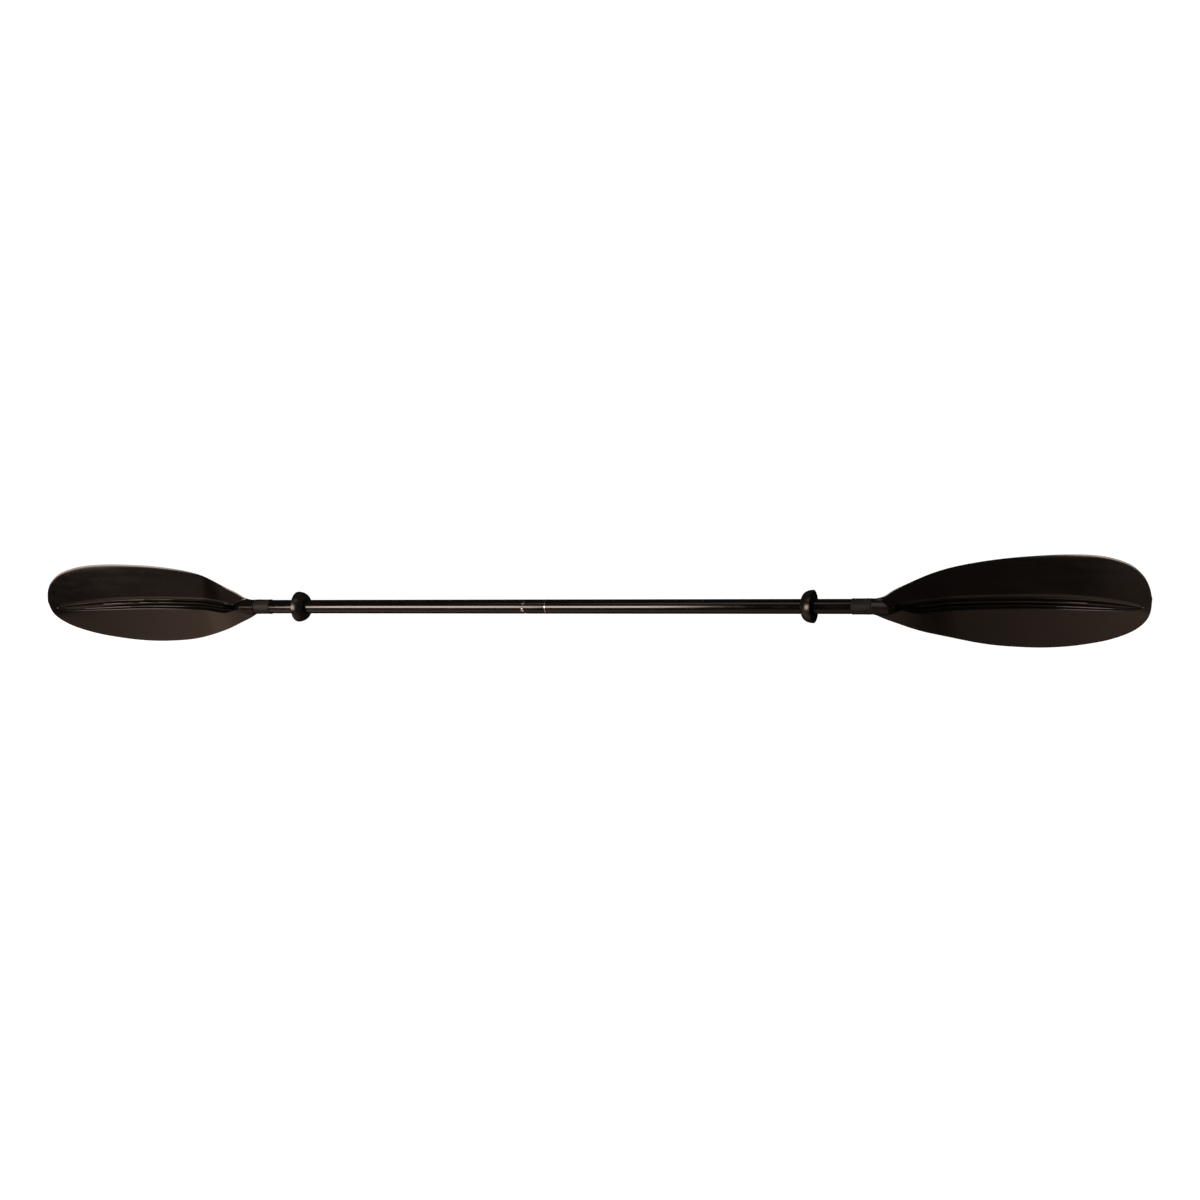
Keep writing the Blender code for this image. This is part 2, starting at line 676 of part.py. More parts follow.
def build_half(side, suffix):
    pin_clearance = BLADE_PIN_RADIUS + 0.0002
    blade = make_blade(side, "blade_" + suffix)
    shaft = make_shaft(side, "shaft_" + suffix)
    make_collar(side, "blade_collar_" + suffix)
    make_neck_ring(side, "neck_ring_" + suffix)
    pin = make_blade_pin(side, "blade_pin_" + suffix)
    make_float_plug(side, "float_plug_" + suffix)
    make_drip_ring(side, "drip_ring_" + suffix, RING_STATIONS[suffix])
    hole = rod_cutter("pin_hole_" + suffix, pin_clearance, 0.040, pin.location, (0, 1, 0))
    cut(shaft, hole)
    cut(blade, hole)
    return shaft


def build_joint(shaft_left, shaft_right):
    ferrule = make_ferrule()
    make_ferrule_cap()
    make_joint_ring()
    make_button()
    make_spring()
    for label, angle in (("middle", 0.0), ("upper", FEATHER_ANGLE), ("lower", -FEATHER_ANGLE)):
        direction = Vector(radial(angle))
        centre = direction * SHAFT_RADIUS + Vector((BUTTON_STATION, 0.0, 0.0))
        hole = rod_cutter("hole_" + label, BUTTON_HOLE_RADIUS, HOLE_DEPTH, centre, direction)
        cut(shaft_left, hole)
        if label == "middle":
            cut(ferrule, hole)
    for label, station in zip(("inner", "outer"), RIVET_STATIONS):
        make_rivet(station, "ferrule_rivet_" + label)
        centre = (station, 0.0, -SHAFT_RADIUS)
        radius = RIVET_SHANK_RADIUS + 0.0002
        hole = rod_cutter("rivet_hole_" + label, radius, HOLE_DEPTH, centre, (0, 0, 1))
        cut(shaft_right, hole)
        cut(ferrule, hole)


def lowest_point():
    return min(z for station in blade_stations() for y, z in blade_section(station))


SHAFT_AXIS.location = (0.0, 0.0, -lowest_point())
left_shaft = build_half(-1.0, "left")
right_shaft = build_half(1.0, "right")
build_joint(left_shaft, right_shaft)
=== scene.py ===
"""Looks for the kayak paddle: moulded blades, glossy tubes, rubber drip rings, materials, studio.

Metres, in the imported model's frame: +X to the right blade, +Y to the blades' fuller edge and +Z up
out of the power faces. Heights in the piece functions are measured from the shaft's axis.
"""

import math

import bmesh
import bpy
import numpy as np
from mathutils import Matrix, Vector


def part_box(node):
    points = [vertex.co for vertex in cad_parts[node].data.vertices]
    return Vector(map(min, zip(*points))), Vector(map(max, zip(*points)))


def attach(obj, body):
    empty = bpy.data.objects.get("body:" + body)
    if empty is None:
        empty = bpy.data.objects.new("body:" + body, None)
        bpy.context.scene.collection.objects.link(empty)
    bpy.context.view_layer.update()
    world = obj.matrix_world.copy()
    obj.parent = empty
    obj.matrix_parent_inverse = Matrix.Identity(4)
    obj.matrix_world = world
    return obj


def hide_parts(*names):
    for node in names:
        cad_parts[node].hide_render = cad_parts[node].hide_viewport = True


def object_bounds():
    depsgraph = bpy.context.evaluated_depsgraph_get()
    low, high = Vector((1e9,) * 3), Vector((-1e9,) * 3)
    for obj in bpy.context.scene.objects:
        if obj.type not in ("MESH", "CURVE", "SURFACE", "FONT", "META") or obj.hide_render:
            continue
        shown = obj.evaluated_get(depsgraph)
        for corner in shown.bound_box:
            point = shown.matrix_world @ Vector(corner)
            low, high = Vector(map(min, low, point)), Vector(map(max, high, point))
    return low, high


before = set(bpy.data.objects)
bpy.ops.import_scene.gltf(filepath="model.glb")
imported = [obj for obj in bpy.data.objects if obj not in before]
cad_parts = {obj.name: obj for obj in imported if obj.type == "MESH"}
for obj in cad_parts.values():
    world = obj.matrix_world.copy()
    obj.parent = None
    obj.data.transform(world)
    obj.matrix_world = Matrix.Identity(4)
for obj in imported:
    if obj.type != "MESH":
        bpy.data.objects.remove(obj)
CAD_LOW, CAD_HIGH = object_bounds()

# ---- places read from the frame --------------------------------------------------------------
SHAFT_LOW, SHAFT_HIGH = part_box("shaft_right")
SHAFT_RADIUS = (SHAFT_HIGH.z - SHAFT_LOW.z) / 2.0
AXIS = Vector((0.0, 0.0, (SHAFT_HIGH.z + SHAFT_LOW.z) / 2.0))
NECK_LOW, NECK_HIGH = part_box("neck_ring_right")
COLLAR_LOW, COLLAR_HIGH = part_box("blade_collar_right")
BUTTON_LOW, BUTTON_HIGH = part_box("snap_button")
BUTTON_STATION = (BUTTON_LOW.x + BUTTON_HIGH.x) / 2.0
RING_LOW, RING_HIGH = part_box("drip_ring_right")
LEFT_RING_LOW, LEFT_RING_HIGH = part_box("drip_ring_left")
RING_RADIUS = (RING_HIGH.z - RING_LOW.z) / 2.0
FERRULE_LOW, FERRULE_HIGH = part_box("ferrule_tube")
FERRULE_RADIUS = (FERRULE_HIGH.z - FERRULE_LOW.z) / 2.0

# ---- sizes that the boxes don't give ---------------------------------------------------------
SHAFT_WALL = 0.0013
BORE_RADIUS = SHAFT_RADIUS - SHAFT_WALL
FEATHER_ANGLE = math.radians(60.0)
BUTTON_RADIUS = 0.0039
BUTTON_HOLE_RADIUS = 0.0043
SHOULDER = NECK_HIGH.x + 0.0003
HALF_LENGTH = 1.150
NECK_RADIUS = SHAFT_RADIUS + 0.0008
SLEEVE_CLEARANCE = 0.0002    # between a sleeve's bore and the tube that it sits on
HOLE_DEPTH = 0.009
FERRULE_WALL = 0.0012
EDGE_EASE = 0.0003           # rounding of turned edges
HOLE_EASE = 0.00025
SIDES = 128

COLLAR_BAND = 0.0022         # width of the raised band at each end of a collar
COLLAR_STEP = 0.0003
NECK_RING_EASE = 0.0006
JOINT_RING_EASE = 0.0002
FERRULE_NOSE_EASE = 0.0008

BUTTON_DIMPLE_RADIUS = 0.0007
BUTTON_DIMPLE_DEPTH = 0.0006
BUTTON_DISH_RADIUS = 0.0012
BUTTON_DISH_DEPTH = 0.0001
BUTTON_EDGE = 0.0011
BUTTON_FLANGE = 0.0008
BUTTON_EASE = 0.0002
BUTTON_SIDES = 64

RING_WALL = 0.0022
RING_GRIP_LENGTH = 0.0065
RING_APEX = 0.0022           # height of the dome's foot above the grip
RING_DOME_POWER = 0.9
RING_STEPS = 28
RIM_STEPS = 8
RING_FOOT = 0.0062           # length of the bore that grips the shaft
RING_FOOT_EASE = 0.0004
RING_FOOT_CHAMFER = 0.0006
RING_BORE_EASE = 0.0005

# The blade's form, as in the CAD model: edge points are (station, distance from the axis).
UPPER_EDGE = (
    (0.653, 0.0148), (0.676, 0.0203), (0.701, 0.0349), (0.751, 0.0547), (0.801, 0.0664),
    (0.851, 0.0748), (0.901, 0.0812), (0.951, 0.0863), (1.001, 0.0911), (1.051, 0.0942),
    (1.086, 0.0925), (1.116, 0.0850), (1.136, 0.0698), (1.146, 0.0512), (1.150, 0.0291),
)
LOWER_EDGE = (
    (0.653, 0.0148), (0.676, 0.0269), (0.701, 0.0377), (0.751, 0.0602), (0.801, 0.0795),
    (0.851, 0.0917), (0.901, 0.0964), (0.951, 0.0956), (1.001, 0.0878), (1.051, 0.0727),
    (1.086, 0.0567), (1.116, 0.0367), (1.136, 0.0152), (1.146, -0.0052), (1.150, -0.0291),
)
SOCKET_LEVEL = 0.0026        # the power face beside the neck
BOWL_LEVEL = -0.0193         # the power face at its lowest
BOWL_STATION = 0.870
TIP_RISE = 0.0563            # from the bowl's bottom up to the tip
BOWL_POWER = 2.12
RAMP_START = 0.690
RAMP_END = 0.800
DIHEDRAL = 0.0111            # how far the edges fall back at the widest part
DIHEDRAL_POWER = 1.25        # 1 would be two flat planes
HALF_WIDTH = 0.0964
PLATE_THICKNESS = 0.0042
EDGE_THICKNESS = 0.0022
THINNEST = 0.0014            # plastic left under a flute
RIB_START = 0.697
RIB_END = 1.133
RIB_HALF_WIDTH = 0.0151
RIB_MOUTH = 0.45             # how open the flutes are where they start
MOUTH_LENGTH = 0.048         # over which they open
TAPER_START = 0.970          # from here the rib narrows to a point
TAPER_POWER = 0.45
RIB_LEAN = 0.0022            # the rib's middle lies this far below its crest near the neck
LEAN_START = 0.800
LEAN_END = 1.040
CREST_SWEEP = 0.0110         # the crest bends this far to the fuller edge by its end
SWEEP_START = 0.750
SWEEP_POWER = 2.4
CREST_HEIGHT = 0.0010        # above the power face
CREST_TAIL = 0.042           # the crest runs down from the neck's land over this length
FLUTE_STEEP = 1.05           # slope of each flute's wall that faces the fuller edge
FLUTE_SHEAR = 0.34           # that wall's share of the flute's width
FLUTE_RUNOUT = 0.35          # the share of the slope that is lost by the tip
FLUTE_EASE = 0.15            # rounds the flutes' corners
FLUTE_SHADE_FACING = 0.88          # a flute's faces that are tipped more than this are its walls, which get the painted shade
RIDGE_LEVEL = 0.0154         # flat land on the neck
RIDGE_HALF_WIDTH = 0.0066
RIDGE_SIDE_SLOPE = 1.1
RIDGE_SIDE_CURVE = 40.0
NECK_SKIRT = 1.2             # slope that carries the neck's round on past its widest
NECK_FILLET = 0.0070
LAND_EASE = 0.0012           # rounds the long edges of the neck's land
NECK_END = 0.707             # the neck's land has run out here
NECK_FADE = 0.022            # over this length
NECK_NARROWING = 1.8         # its sides run out this much sooner
NECK_BLEND = 0.084           # the neck's width becomes the rib's over this length
BACK_SPINE_DEPTH = 0.0034
SPINE_LEAST = 0.25           # the share of that depth at the rib's end
EDGE_SHARPNESS = 24          # how late the plate's edges round off
EDGE_ZONE = 0.8
STRIP_HALF_WIDTH = 0.004     # middle zone past the rib's end
TIP_BLEND = 0.016            # the middle zone moves to the tip's middle over this length
TIP_LEAST_WIDTH = 0.001
SOCKET_LIP = 0.0004          # rounding of the shoulder that meets the neck ring
FIN_STEPS = 26
CORE_STEPS = 72
NECK_ROWS = 84
MIDDLE_ROWS = 104
TIP_ROWS = 46
TIP_ZONE = 0.060
TIP_STEP = 0.0001            # the last row lies this far from the tip


def smooth_step(value):
    t = min(max(value, 0.0), 1.0)
    return t * t * (3.0 - 2.0 * t)


def mix(a, b, t):
    return a + (b - a) * t


def soft_max(a, b, width):
    """The larger of two heights, with a fillet where they meet."""
    near = max(width - abs(a - b), 0.0) / width
    return max(a, b) + near * near * width / 4.0


# ---- materials -------------------------------------------------------------------------------
class Nodes:
    """A short way to write a node material."""

    def __init__(self, name):
        self.material = bpy.data.materials.new(name)
        self.material.use_nodes = True
        self.tree = self.material.node_tree
        self.shader = self.tree.nodes["Principled BSDF"]

    def add(self, kind, **values):
        node = self.tree.nodes.new(kind)
        for key, value in values.items():
            if key in node.inputs:
                node.inputs[key].default_value = value
            else:
                setattr(node, key, value)
        return node

    def link(self, source, target):
        self.tree.links.new(source, target)

    def place(self, scale=(1.0, 1.0, 1.0)):
        """Object coordinates, stretched."""
        coordinates = self.add("ShaderNodeTexCoord")
        mapping = self.add("ShaderNodeMapping")
        mapping.inputs["Scale"].default_value = scale
        self.link(coordinates.outputs["Object"], mapping.inputs["Vector"])
        return mapping.outputs["Vector"]

    def noise(self, vector, scale, detail=4.0, roughness=0.5):
        node = self.add("ShaderNodeTexNoise")
        node.inputs["Scale"].default_value = scale
        node.inputs["Detail"].default_value = detail
        node.inputs["Roughness"].default_value = roughness
        self.link(vector, node.inputs["Vector"])
        return node.outputs["Fac"]

    def ramp(self, source, low, high, start=0.0, end=1.0):
        """Maps a value from low..high to start..end, with soft ends."""
        node = self.add("ShaderNodeMapRange", interpolation_type="SMOOTHSTEP")
        node.inputs["From Min"].default_value = low
        node.inputs["From Max"].default_value = high
        node.inputs["To Min"].default_value = start
        node.inputs["To Max"].default_value = end
        self.link(source, node.inputs["Value"])
        return node.outputs["Result"]

    def math(self, operation, a, b):
        node = self.add("ShaderNodeMath", operation=operation)
        for socket, value in zip(node.inputs, (a, b)):
            if isinstance(value, float):
                socket.default_value = value
            else:
                self.link(value, socket)
        return node.outputs["Value"]

    def colors(self, factor, first, second):
        node = self.add("ShaderNodeMix", data_type="RGBA")
        self.link(factor, node.inputs["Factor"])
        for socket, color in zip((node.inputs[6], node.inputs[7]), (first, second)):
            if isinstance(color, tuple):
                socket.default_value = (*color, 1.0)
            else:
                self.link(color, socket)
        return node.outputs[2]

    def bump(self, heights):
        """Stacks (height, strength, distance) bumps on the shader's normal."""
        normal = None
        for height, strength, distance in heights:
            node = self.add("ShaderNodeBump")
            node.inputs["Strength"].default_value = strength
            node.inputs["Distance"].default_value = distance
            self.link(height, node.inputs["Height"])
            if normal is not None:
                self.link(normal, node.inputs["Normal"])
            normal = node.outputs["Normal"]
        self.link(normal, self.shader.inputs["Normal"])

    def finish(self, color=None, roughness=None, **fixed):
        for name, source in (("Base Color", color), ("Roughness", roughness)):
            if isinstance(source, tuple):
                self.shader.inputs[name].default_value = (*source, 1.0)
            elif isinstance(source, float):
                self.shader.inputs[name].default_value = source
            elif source is not None:
                self.link(source, self.shader.inputs[name])
        for name, value in fixed.items():
            self.shader.inputs[name.replace("_", " ")].default_value = value
        return self.material


def blade_material():
    """Satin black nylon: moulding grain, faint flow marks and rubbed scratches towards the tip."""
    n = Nodes("blade_plastic_satin")
    even = n.place()
    along = n.place((3.0, 60.0, 60.0))
    cloud = n.noise(even, 9.0, 3.0)
    flow = n.noise(n.place((2.0, 14.0, 14.0)), 6.0, 3.0)
    grain = n.noise(even, 2600.0, 2.0)
    scratch = n.ramp(n.noise(along, 22.0, 6.0, 0.7), 0.60, 0.72)
    reach = n.add("ShaderNodeSeparateXYZ")
    n.link(even, reach.inputs["Vector"])
    distance = n.math("ABSOLUTE", reach.outputs["X"], 0.0)
    tip = n.ramp(distance, 0.95, 1.15)
    wear = n.math("MULTIPLY", scratch, n.math("MULTIPLY", tip, 0.55))
    base = n.colors(n.ramp(cloud, 0.35, 0.70), (0.0018, 0.0014, 0.0012), (0.0028, 0.0021, 0.0017))
    worn = n.colors(wear, base, (0.020, 0.016, 0.014))
    rough = n.math("ADD", n.ramp(flow, 0.30, 0.75, 0.15, 0.20), n.math("MULTIPLY", wear, 0.25))
    n.bump(((grain, 0.08, 0.00005), (scratch, 0.02, 0.0001)))
    return n.finish(worn, rough, Specular_IOR_Level=0.5)


def flute_painted_shade_material():
    """A guess at the flutes' black look: their steep walls get a near-black plastic that barely
    reflects, painted shade for the dark of the deep flutes.
    """
    n = Nodes("blade_flute_painted_shade")
    even = n.place()
    cloud = n.noise(even, 30.0, 3.0)
    grain = n.noise(even, 1800.0, 3.0)
    # Near-black and almost without reflection: painted shade on the flutes' walls.
    base = n.colors(n.ramp(cloud, 0.35, 0.70), (0.0004, 0.0004, 0.0004), (0.0008, 0.0007, 0.0006))
    n.bump(((grain, 0.20, 0.0001),))
    return n.finish(base, n.ramp(cloud, 0.30, 0.75, 0.40, 0.52), Specular_IOR_Level=0.05)


def shaft_material():
    """Glossy black anodised tube with fine drawing lines, smudges and a few hairline scratches."""
    n = Nodes("shaft_black_gloss")
    even = n.place()
    lines = n.noise(n.place((1.5, 900.0, 900.0)), 1.0, 3.0)
    smudge = n.noise(even, 28.0, 4.0)
    dust = n.ramp(n.noise(even, 900.0, 2.0), 0.66, 0.74)
    hair = n.ramp(n.noise(n.place((90.0, 900.0, 900.0)), 1.0, 5.0, 0.7), 0.68, 0.74)
    base = n.colors(n.ramp(smudge, 0.40, 0.70), (0.0016, 0.0014, 0.0013), (0.0026, 0.0022, 0.0020))
    marks = n.math("MULTIPLY", n.math("MAXIMUM", dust, hair), 0.12)
    marked = n.colors(marks, base, (0.05, 0.045, 0.04))
    rough = n.math("ADD", n.ramp(smudge, 0.35, 0.75, 0.10, 0.16), n.math("MULTIPLY", hair, 0.10))
    n.bump(((lines, 0.03, 0.00005), (smudge, 0.02, 0.0004)))
    return n.finish(marked, rough, Specular_IOR_Level=0.5)


def collar_material():
    """Matte moulded collar with a fine spark-eroded texture."""
    n = Nodes("collar_plastic_matte")
    even = n.place()
    grain = n.noise(even, 1500.0, 3.0)
    cloud = n.noise(even, 60.0, 3.0)
    base = n.colors(n.ramp(cloud, 0.35, 0.70), (0.0075, 0.0058, 0.0048), (0.0115, 0.0088, 0.0072))
    rough = n.ramp(cloud, 0.30, 0.75, 0.52, 0.62)
    n.bump(((grain, 0.25, 0.00015),))
    return n.finish(base, rough, Specular_IOR_Level=0.22)


def rubber_material():
    """Smooth moulded rubber with a faint, patchy bloom of fine dust."""
    n = Nodes("ring_rubber_soft")
    even = n.place()
    grain = n.noise(even, 1200.0, 2.0)
    cloud = n.noise(even, 70.0, 4.0)
    base = n.colors(n.ramp(cloud, 0.35, 0.75), (0.0028, 0.0023, 0.0020), (0.0055, 0.0045, 0.0040))
    rough = n.ramp(cloud, 0.30, 0.80, 0.22, 0.34)
    n.bump(((grain, 0.05, 0.00006), (cloud, 0.04, 0.0003)))
    return n.finish(base, rough, Specular_IOR_Level=0.5)


def metal_material(name, color, dark, low, high, stretch):
    """Turned or drawn bright metal: fine lines along the stretch, with duller patches."""
    n = Nodes(name)
    lines = n.noise(n.place(stretch), 1.0, 4.0)
    cloud = n.noise(n.place(), 90.0, 3.0)
    base = n.colors(n.ramp(cloud, 0.35, 0.80), color, dark)
    rough = n.ramp(lines, 0.30, 0.70, low, high)
    n.bump(((lines, 0.06, 0.00005),))
    return n.finish(base, rough, Metallic=1.0)


def foam_material():
    """Closed-cell foam: small rounded cells."""
    n = Nodes("float_foam_cells")
    cells = n.add("ShaderNodeTexVoronoi", feature="SMOOTH_F1")
    cells.inputs["Scale"].default_value = 700.0
    n.link(n.place(), cells.inputs["Vector"])
    depth = n.ramp(cells.outputs["Distance"], 0.10, 0.60)
    base = n.colors(depth, (0.62, 0.62, 0.58), (0.40, 0.40, 0.37))
    n.bump(((depth, 0.5, 0.0004),))
    return n.finish(base, 0.85)


def cap_material():
    """Grey moulded cap with a fine grain."""
    n = Nodes("cap_plastic_grain")
    even = n.place()
    grain = n.noise(even, 1400.0, 3.0)
    cloud = n.noise(even, 80.0, 3.0)
    base = n.colors(n.ramp(cloud, 0.35, 0.70), (0.020, 0.019, 0.018), (0.030, 0.028, 0.027))
    n.bump(((grain, 0.20, 0.0001),))
    return n.finish(base, n.ramp(cloud, 0.30, 0.80, 0.42, 0.55))


BLADE_PLASTIC = blade_material()
BLADE_FLUTE_PAINTED_SHADE = flute_painted_shade_material()
SHAFT_BLACK = shaft_material()
COLLAR_PLASTIC = collar_material()
RING_RUBBER = rubber_material()
BRIGHT_METAL = metal_material(
    "bright_metal_turned", (0.86, 0.85, 0.83), (0.70, 0.69, 0.67), 0.16, 0.30, (900.0, 30.0, 30.0)
)
SPRING_STEEL = metal_material(
    "spring_steel_rolled", (0.50, 0.50, 0.52), (0.36, 0.36, 0.38), 0.24, 0.40, (40.0, 1200.0, 1200.0)
)
FLOAT_FOAM = foam_material()
CAP_PLASTIC = cap_material()


# ---- mesh helpers ----------------------------------------------------------------------------
def make_piece(name, vertices, faces, material, body, replaced, sharp=40.0):
    mesh = bpy.data.meshes.new(name)
    mesh.from_pydata([tuple(v) for v in vertices], [], faces)
    mesh.validate()
    mesh.materials.append(material)
    mesh.shade_smooth()
    mesh.set_sharp_from_angle(angle=math.radians(sharp))
    piece = bpy.data.objects.new(name, mesh)
    bpy.context.scene.collection.objects.link(piece)
    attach(piece, body)
    if replaced:
        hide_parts(*replaced)
    return piece


def rounded(profile, radius, steps=4):
    """Rounds the corners of a closed (station, radius) profile; a corner may give its own radius."""
    result = []
    count = len(profile)
    for i, corner in enumerate(profile):
        here = np.array(corner[:2])
        before = np.array(profile[i - 1][:2])
        after = np.array(profile[(i + 1) % count][:2])
        size = corner[2] if len(corner) > 2 else radius
        to_before = before - here
        to_after = after - here
        reach = min(size, 0.45 * np.linalg.norm(to_before), 0.45 * np.linalg.norm(to_after))
        if reach < 1e-5:
            result.append(tuple(here))
            continue
        first = here + to_before / np.linalg.norm(to_before) * reach
        last = here + to_after / np.linalg.norm(to_after) * reach
        for step in range(steps + 1):
            t = step / steps
            point = first * (1 - t) ** 2 + here * 2 * t * (1 - t) + last * t ** 2
            result.append((float(point[0]), float(point[1])))
    return result


def revolve(profile, side, sides=SIDES):
    """Vertices and faces of a closed (station, radius) profile turned round the shaft's axis."""
    count = len(profile)
    vertices = []
    for k in range(sides):
        angle = math.tau * k / sides
        for station, radius in profile:
            vertices.append((
                side * station, radius * math.sin(angle), AXIS.z + radius * math.cos(angle)
            ))
    faces = []
    for k in range(sides):
        near = k * count
        far = ((k + 1) % sides) * count
        for i in range(count):
            j = (i + 1) % count
            face = (near + i, near + j, far + j, far + i)
            faces.append(face if side > 0 else face[::-1])
    return vertices, faces


def turned_piece(name, profile, material, body, replaced, side=1.0):
    vertices, faces = revolve(profile, side)
    piece = make_piece(name, vertices, faces, material, body, replaced)
    point_outwards(piece)
    return piece


def point_outwards(piece):
    builder = bmesh.new()
    builder.from_mesh(piece.data)
    bmesh.ops.recalc_face_normals(builder, faces=builder.faces)
    builder.to_mesh(piece.data)
    builder.free()


def cut_holes(piece, places, radius, depth, rim=HOLE_EASE):
    """Drills round holes along (centre, direction) and eases their rims."""
    for number, (centre, direction) in enumerate(places):
        builder = bmesh.new()
        bmesh.ops.create_cone(
            builder, cap_ends=True, segments=64, radius1=radius, radius2=radius, depth=depth
        )
        mesh = bpy.data.meshes.new("drill")
        builder.to_mesh(mesh)
        builder.free()
        drill = bpy.data.objects.new("drill_%s_%d" % (piece.name, number), mesh)
        bpy.context.scene.collection.objects.link(drill)
        turn = Vector(direction).to_track_quat("Z", "Y").to_matrix().to_4x4()
        drill.matrix_world = Matrix.Translation(centre) @ turn
        boolean = piece.modifiers.new("drill", "BOOLEAN")
        boolean.object = drill
        boolean.solver = "EXACT"
        bpy.context.view_layer.update()
        evaluated = piece.evaluated_get(bpy.context.evaluated_depsgraph_get())
        drilled = bpy.data.meshes.new_from_object(evaluated)
        piece.modifiers.clear()
        piece.data = drilled
        bpy.data.objects.remove(drill)
    builder = bmesh.new()
    builder.from_mesh(piece.data)
    bmesh.ops.remove_doubles(builder, verts=builder.verts, dist=0.00001)
    builder.to_mesh(piece.data)
    builder.free()
    piece.data.shade_smooth()
    piece.data.set_sharp_from_angle(angle=math.radians(35.0))
    bevel = piece.modifiers.new("eased_rims", "BEVEL")
    bevel.width = rim
    bevel.segments = 2
    bevel.limit_method = "ANGLE"
    bevel.angle_limit = math.radians(50.0)
    bevel.use_clamp_overlap = True


def dress(node, material):
    """Gives a CAD node that stays visible a better material."""
    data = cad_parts[node].data
    data.materials.clear()
    data.materials.append(material)


# ---- blades ----------------------------------------------------------------------------------
def catmull_rom(points, steps):
    """A smooth run of points through the control points."""
    knots = [np.array(p, dtype=float) for p in points]
    knots = [2 * knots[0] - knots[1]] + knots + [2 * knots[-1] - knots[-2]]
    curve = []
    for i in range(1, len(knots) - 2):
        before, here, there, after = knots[i - 1:i + 3]
        for step in range(steps):
            t = step / steps
            curve.append(0.5 * (
                2 * here + (there - before) * t
                + (2 * before - 5 * here + 4 * there - after) * t * t
                + (3 * here - before - 3 * there + after) * t ** 3
            ))
    curve.append(knots[-2])
    return np.array(curve)


UPPER_CURVE = catmull_rom(UPPER_EDGE, 24)
LOWER_CURVE = catmull_rom(LOWER_EDGE, 24)


def edge_at(curve, station):
    return float(np.interp(station, curve[:, 0], curve[:, 1]))


def face_level(station):
    """Height of the power face on the centre line, without the rib."""
    away = abs(station - BOWL_STATION) / (HALF_LENGTH - BOWL_STATION)
    bowl = BOWL_LEVEL + TIP_RISE * away ** BOWL_POWER
    ramp = smooth_step((RAMP_END - station) / (RAMP_END - RAMP_START))
    return mix(bowl, SOCKET_LEVEL, ramp)


def crest_line(station):
    """How far the rib's crest has bent towards the fuller edge."""
    along = max(0.0, (station - SWEEP_START) / (RIB_END - SWEEP_START))
    return CREST_SWEEP * along ** SWEEP_POWER


def rib_centre(station):
    """Middle of the rib's two outer edges."""
    grown = smooth_step((station - RIB_START) / MOUTH_LENGTH)
    left = 1.0 - smooth_step((station - LEAN_START) / (LEAN_END - LEAN_START))
    return crest_line(station) - RIB_LEAN * grown * left


def rib_width(station):
    """Half width of the fluted rib: even along most of its length, then pointed."""
    if not RIB_START < station < RIB_END:
        return 0.0
    opening = mix(RIB_MOUTH, 1.0, smooth_step((station - RIB_START) / MOUTH_LENGTH))
    along = max(0.0, (station - TAPER_START) / (RIB_END - TAPER_START))
    return RIB_HALF_WIDTH * opening * (1.0 - along ** 2) ** TAPER_POWER


def core_width(station):
    """Half width of the middle zone: the neck, then the rib, then a narrow strip to the tip."""
    blade = max(rib_width(station), STRIP_HALF_WIDTH)
    return mix(NECK_RADIUS, blade, smooth_step((station - SHOULDER) / NECK_BLEND))


def plate_level(station, across):
    """The power face without the rib: a spooned centre line and two planes that fall back."""
    return face_level(station) - DIHEDRAL * (abs(across) / HALF_WIDTH) ** DIHEDRAL_POWER


def flute_form(t, bottom):
    """A V with eased corners: 0 at the crest, 1 at its bottom and 0 at its outer edge."""
    inner = math.hypot(t / bottom, FLUTE_EASE) - FLUTE_EASE
    outer = math.hypot((1.0 - t) / (1.0 - bottom), FLUTE_EASE) - FLUTE_EASE
    return -soft_max(-inner, -outer, 2.0 * FLUTE_EASE)


def rib_height(station, across):
    """Two flutes with a crest between them; in both, the wall that faces the fuller edge is steep."""
    width = rib_width(station)
    if width <= 0.0:
        return 0.0
    from_crest = across - crest_line(station)
    lean = rib_centre(station) - crest_line(station)
    reach = width + lean if from_crest > 0.0 else width - lean
    t = abs(from_crest) / reach
    if t >= 1.0:
        return 0.0
    bottom = FLUTE_SHEAR if from_crest > 0.0 else 1.0 - FLUTE_SHEAR
    along = (station - RIB_START) / (RIB_END - RIB_START)
    depth = FLUTE_STEEP * FLUTE_SHEAR * reach * (1.0 - FLUTE_RUNOUT * along ** 4)
    tail = 1.0 - smooth_step((station - RIB_START) / CREST_TAIL)
    crest = CREST_HEIGHT * (1.0 - t) + (RIDGE_LEVEL - face_level(station)) * tail * (1.0 - t) ** 2
    return crest - depth * flute_form(t, bottom)


def front_height(station, across):
    """Power face, with the rib, the neck's round and the neck's flat land."""
    level = plate_level(station, across)
    height = level + rib_height(station, across)
    side = max(0.0, abs(across) - RIDGE_HALF_WIDTH)
    fade = smooth_step((NECK_END - NECK_NARROWING * side - station) / NECK_FADE)
    if fade > 0.0:
        neck = math.sqrt(max(0.0, NECK_RADIUS ** 2 - across ** 2))
        neck -= NECK_SKIRT * max(0.0, abs(across) - NECK_RADIUS)
        ridge = RIDGE_LEVEL - RIDGE_SIDE_SLOPE * side - RIDGE_SIDE_CURVE * side ** 2
        shaped = soft_max(soft_max(neck, ridge, LAND_EASE), level, NECK_FILLET)
        height = mix(height, shaped, fade)
    return height


